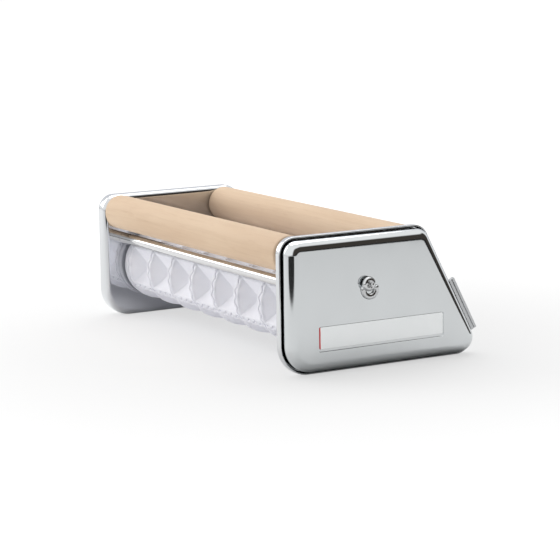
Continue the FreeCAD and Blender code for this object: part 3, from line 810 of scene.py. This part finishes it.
def grid_tile(name, columns, rows, point):
    """A smooth patch of quads, each split along the diagonal that its facets follow."""
    mesh = bmesh.new()
    grid = [[mesh.verts.new(point(i, j)) for j in range(rows + 1)] for i in range(columns + 1)]
    for i in range(columns):
        for j in range(rows):
            a, b, c, d = grid[i][j], grid[i + 1][j], grid[i + 1][j + 1], grid[i][j + 1]
            rising = (i < columns / 2) == (j < rows / 2)
            triangles = ((a, b, c), (a, c, d)) if rising else ((a, b, d), (b, c, d))
            for triangle in triangles:
                mesh.faces.new(triangle)
    for face in mesh.faces:
        face.smooth = True
    data = bpy.data.meshes.new(name)
    mesh.to_mesh(data)
    mesh.free()
    return add_mesh_object(name, data)


band_radius = 0.027
band_end = crest_shoulder + 0.005
hub_radius = 0.009
hub_end = half_span - 0.0018
shaft_radius = 0.006
# Outwards from an outer crest's middle: distance, radius and share of the wave, down to the hub
band_section = [(distance, crest_radius - depth, share) for distance, depth, share in crest_section]
band_section += [(crest_shoulder + 0.0002, band_radius - 0.0003, 0),
                 (crest_shoulder + 0.0005, band_radius, 0), (band_end - 0.0010, band_radius, 0),
                 (band_end - 0.0003, band_radius - 0.0003, 0),
                 (band_end, band_radius - 0.0010, 0), (band_end, 0.018, 0),
                 (band_end, hub_radius, 0)]
band_steps = len(band_section) - 1


def band_point(reach, sign):
    """A point finder for the plain band, end face and hub outside an outer crest."""
    section = band_section + [(reach - 0.0003, hub_radius, 0), (reach, hub_radius - 0.0003, 0),
                              (reach, shaft_radius, 0)]

    def point(step, step_turn):
        distance, radius, share = section[step]
        (_, angle, _, _), side_turn = level_at(step_turn)
        turn_angle = angle if side_turn < 0 else row_angle - angle
        x = sign * distance + wave(turn_angle / row_angle) * share
        return Vector((x, radius * math.cos(turn_angle), radius * math.sin(turn_angle)))

    return point, len(section) - 1


last_crest = first_crest + pockets_across * pocket_pitch
tiles = {"pocket": grid_tile("pocket_tile", steps_across, steps_across, pocket_point)}
for name, sign, crest in (("left_band", -1, first_crest), ("right_band", 1, last_crest)):
    point, count = band_point(hub_end - abs(crest), sign)
    tiles[name] = grid_tile(name + "_tile", count, steps_across, point)


def roller_tree():
    """Geometry Nodes that repeat the pocket along and round the roller, with a band at each end."""
    tree = bpy.data.node_groups.new("moulding_roller", "GeometryNodeTree")
    face = tree.interface
    face.new_socket("Geometry", in_out="OUTPUT", socket_type="NodeSocketGeometry")
    for name, kind in (("Pocket", "Object"), ("Left Band", "Object"), ("Right Band", "Object"),
                       ("Finish", "Material"), ("Pitch", "Float"), ("Pockets Across", "Int"),
                       ("Pockets Around", "Int"), ("First Crest", "Float"), ("First Turn", "Float"),
                       ("Axis", "Vector")):
        face.new_socket(name, in_out="INPUT", socket_type="NodeSocket" + kind)
    given = add_node(tree, "NodeGroupInput").outputs
    row_turn = add_math(tree, "DIVIDE", 2 * math.pi, given["Pockets Around"])
    end_crest = add_node(tree, "ShaderNodeMath", {0: given["Pitch"], 1: given["Pockets Across"],
                                                  2: given["First Crest"]},
                         operation="MULTIPLY_ADD").outputs[0]
    index = add_node(tree, "GeometryNodeInputIndex").outputs[0]
    parts = []
    for name, count, first in (("Pocket", given["Pockets Across"], given["First Crest"]),
                               ("Left Band", 1, given["First Crest"]),
                               ("Right Band", 1, end_crest)):
        start = add_node(tree, "ShaderNodeCombineXYZ", {"X": first}).outputs[0]
        step = add_node(tree, "ShaderNodeCombineXYZ", {"X": given["Pitch"]}).outputs[0]
        line = add_node(tree, "GeometryNodeMeshLine", {"Count": count, "Start Location": start,
                                                       "Offset": step})
        tile = add_node(tree, "GeometryNodeObjectInfo", {"Object": given[name]}).outputs["Geometry"]
        parts.append(add_node(tree, "GeometryNodeInstanceOnPoints",
                              {"Points": line.outputs[0], "Instance": tile}).outputs[0])
    joined = add_node(tree, "GeometryNodeJoinGeometry")
    for part in parts:
        tree.links.new(part, joined.inputs[0])
    strip = add_node(tree, "GeometryNodeRealizeInstances", {0: joined.outputs[0]}).outputs[0]
    angle = add_node(tree, "ShaderNodeMath", {0: index, 1: row_turn, 2: given["First Turn"]},
                     operation="MULTIPLY_ADD").outputs[0]
    angles = add_node(tree, "ShaderNodeCombineXYZ", {"X": angle}).outputs[0]
    rotation = add_node(tree, "FunctionNodeEulerToRotation", {0: angles}).outputs[0]
    spokes = add_node(tree, "GeometryNodeMeshLine", {"Count": given["Pockets Around"],
                                                     "Start Location": given["Axis"],
                                                     "Offset": (0, 0, 0)}).outputs[0]
    around = add_node(tree, "GeometryNodeInstanceOnPoints", {"Points": spokes, "Instance": strip,
                                                             "Rotation": rotation}).outputs[0]
    whole = add_node(tree, "GeometryNodeRealizeInstances", {0: around}).outputs[0]
    merged = add_node(tree, "GeometryNodeMergeByDistance",
                      {"Geometry": whole, "Distance": 2e-6}).outputs[0]
    finished = add_node(tree, "GeometryNodeSetMaterial", {"Geometry": merged,
                                                          "Material": given["Finish"]}).outputs[0]
    add_node(tree, "NodeGroupOutput", {0: finished})
    return tree


def moulded_plastic(name, shift):
    """White food-safe plastic: soft satin, faintly uneven in colour, with fine moulding grain."""
    made, tree, shader, place = new_material(name)
    grain = add_noise(tree, place, 2200, 2)
    cloud = add_noise(tree, place, 60, 3, shift=(shift, 0, 0))
    colour = add_ramp(tree, cloud, [(0.3, (0.820, 0.823, 0.885)), (0.7, (0.865, 0.868, 0.925))])
    gloss = add_ramp(tree, cloud, [(0.3, 0.34), (0.7, 0.44)])
    bump = add_node(tree, "ShaderNodeBump", {"Height": grain, "Strength": 0.10, "Distance": 0.0001})
    tree.links.new(colour, shader.inputs["Base Color"])
    tree.links.new(gloss, shader.inputs["Roughness"])
    tree.links.new(bump.outputs[0], shader.inputs["Normal"])
    shader.inputs["Specular IOR Level"].default_value = 0.4
    return made


tree = roller_tree()
for row, y in mould_y.items():
    # A row of pockets faces forward and slightly up on the front roller, and back on the other
    first_turn = math.pi - row_lift + row_angle / 2 if row == "front" else row_lift + row_angle / 2
    roller = add_mesh_object(row + "_pocket_roller", bpy.data.meshes.new(row + "_pocket_roller"))
    grow = roller.modifiers.new("pockets", "NODES")
    grow.node_group = tree
    values = {"Pocket": tiles["pocket"], "Left Band": tiles["left_band"],
              "Right Band": tiles["right_band"],
              "Finish": moulded_plastic(row + "_roller_plastic", y * 9), "Pitch": pocket_pitch,
              "Pockets Across": pockets_across, "Pockets Around": pockets_around,
              "First Crest": first_crest, "First Turn": first_turn, "Axis": (0, y, mould_z)}
    for item in tree.interface.items_tree:
        if item.in_out == "INPUT":
            grow[item.identifier] = values[item.name]
    keep_mesh(roller)
    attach(roller, row + "_roller")
    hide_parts(row + "_mould_roller")
for tile in tiles.values():
    bpy.data.objects.remove(tile)


# The hook rails: folded chromed strip riveted to the side plates' slanted rims. The grooved wall
# hooks on to the machine that feeds the dough.
rail_length = 0.043
rail_height = 0.0545
# Across the rail: outwards from the side plate, and off the slanted edge
rail_section = [(0.0, 0.0), (0.0062, 0.0), (0.0062, 0.0022), (0.0055, 0.0022), (0.0055, 0.0028),
                (0.0062, 0.0028), (0.0062, 0.0048), (0.0036, 0.0048), (0.0036, 0.0012), (0.0, 0.0012)]
rail_bevel = 0.00022
slope = Vector((0, unit_top_back - unit_back, unit_height)).normalized()
slope_out = Vector((0, slope.z, -slope.y))
rail_top = Vector((0, unit_back, 0)) + slope * (rail_height / slope.z)
rail_finish = mirror_chrome("rail_chrome", (0.55, 0.56, 0.57), 0.09)
for side in ("left", "right"):
    sign = 1 if side == "right" else -1
    mesh = bmesh.new()
    loops = []
    for along in (-rail_length, 0.0):
        foot = rail_top + slope * along
        loops.append([mesh.verts.new(foot + slope_out * off
                                     + Vector((sign * (half_span + out), 0, 0)))
                      for out, off in rail_section])
    join_loops(mesh, *loops)
    for loop in loops:
        mesh.faces.new(loop)
    rail = finish_mesh(mesh, side + "_hook_strip", rail_finish, 30)
    bevel = rail.modifiers.new("edges", "BEVEL")
    bevel.width = rail_bevel
    bevel.segments = 2
    bevel.angle_limit = math.radians(40)
    keep_mesh(rail)
    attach(rail, "frame")
    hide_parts(side + "_hook_rail")


# What is inside the end units or at the rollers' ends stays as the solids have it: shafts, keys,
# gears, clips, pins, pillars and screws in steel, and the bushes in natural nylon.
def turned_steel(name, tint, gloss_low, grease):
    """Satin steel with fine turning lines across X, a little colour drift and a trace of grease."""
    made, tree, shader, place = new_material(name)
    lines = add_noise(tree, place, 900, 2, (6, 1, 1))
    drift = add_noise(tree, place, 60, 3)
    film = add_noise(tree, place, 130, 3, shift=(4, 2, 0))
    shade = add_ramp(tree, drift, [(0.3, tuple(0.88 * part for part in tint)), (0.7, tint)])
    greased = add_ramp(tree, film, [(0.55, 0.0), (0.75, grease)])
    colour = add_mix(tree, greased, shade, (0.24, 0.21, 0.16, 1))
    gloss = add_ramp(tree, lines, [(0.3, gloss_low), (0.7, gloss_low + 0.14)])
    bump = add_node(tree, "ShaderNodeBump", {"Height": lines, "Strength": 0.12, "Distance": 0.0001})
    tree.links.new(colour, shader.inputs["Base Color"])
    tree.links.new(gloss, shader.inputs["Roughness"])
    tree.links.new(bump.outputs[0], shader.inputs["Normal"])
    shader.inputs["Metallic"].default_value = 1
    return made


def natural_nylon():
    """Natural white nylon, matte, slightly uneven in colour."""
    made, tree, shader, place = new_material("natural_nylon")
    cloud = add_noise(tree, place, 140, 3)
    grain = add_noise(tree, place, 1800, 2)
    tone = add_ramp(tree, cloud, [(0.3, (0.74, 0.73, 0.66)), (0.7, (0.80, 0.79, 0.73))])
    gloss = add_ramp(tree, cloud, [(0.3, 0.42), (0.7, 0.52)])
    bump = add_node(tree, "ShaderNodeBump", {"Height": grain, "Strength": 0.10, "Distance": 0.0001})
    tree.links.new(tone, shader.inputs["Base Color"])
    tree.links.new(gloss, shader.inputs["Roughness"])
    tree.links.new(bump.outputs[0], shader.inputs["Normal"])
    return made


inner_finishes = {
    "bare_steel": turned_steel("turned_steel", (0.60, 0.605, 0.61), 0.22, 0.15),
    "gear_steel": turned_steel("gear_steel", (0.55, 0.555, 0.56), 0.28, 0.5),
    "zinc_steel": plated_steel("zinc_plating", (0.66, 0.67, 0.69), 0.22, 0.85),
    "nylon": natural_nylon(),
}
for part in frame["record"]["subparts"]:
    node = frame["nodes"][part["node"]]
    if part["material_slot"] in inner_finishes and not node.hide_render:
        node.data.materials.clear()
        node.data.materials.append(inner_finishes[part["material_slot"]])
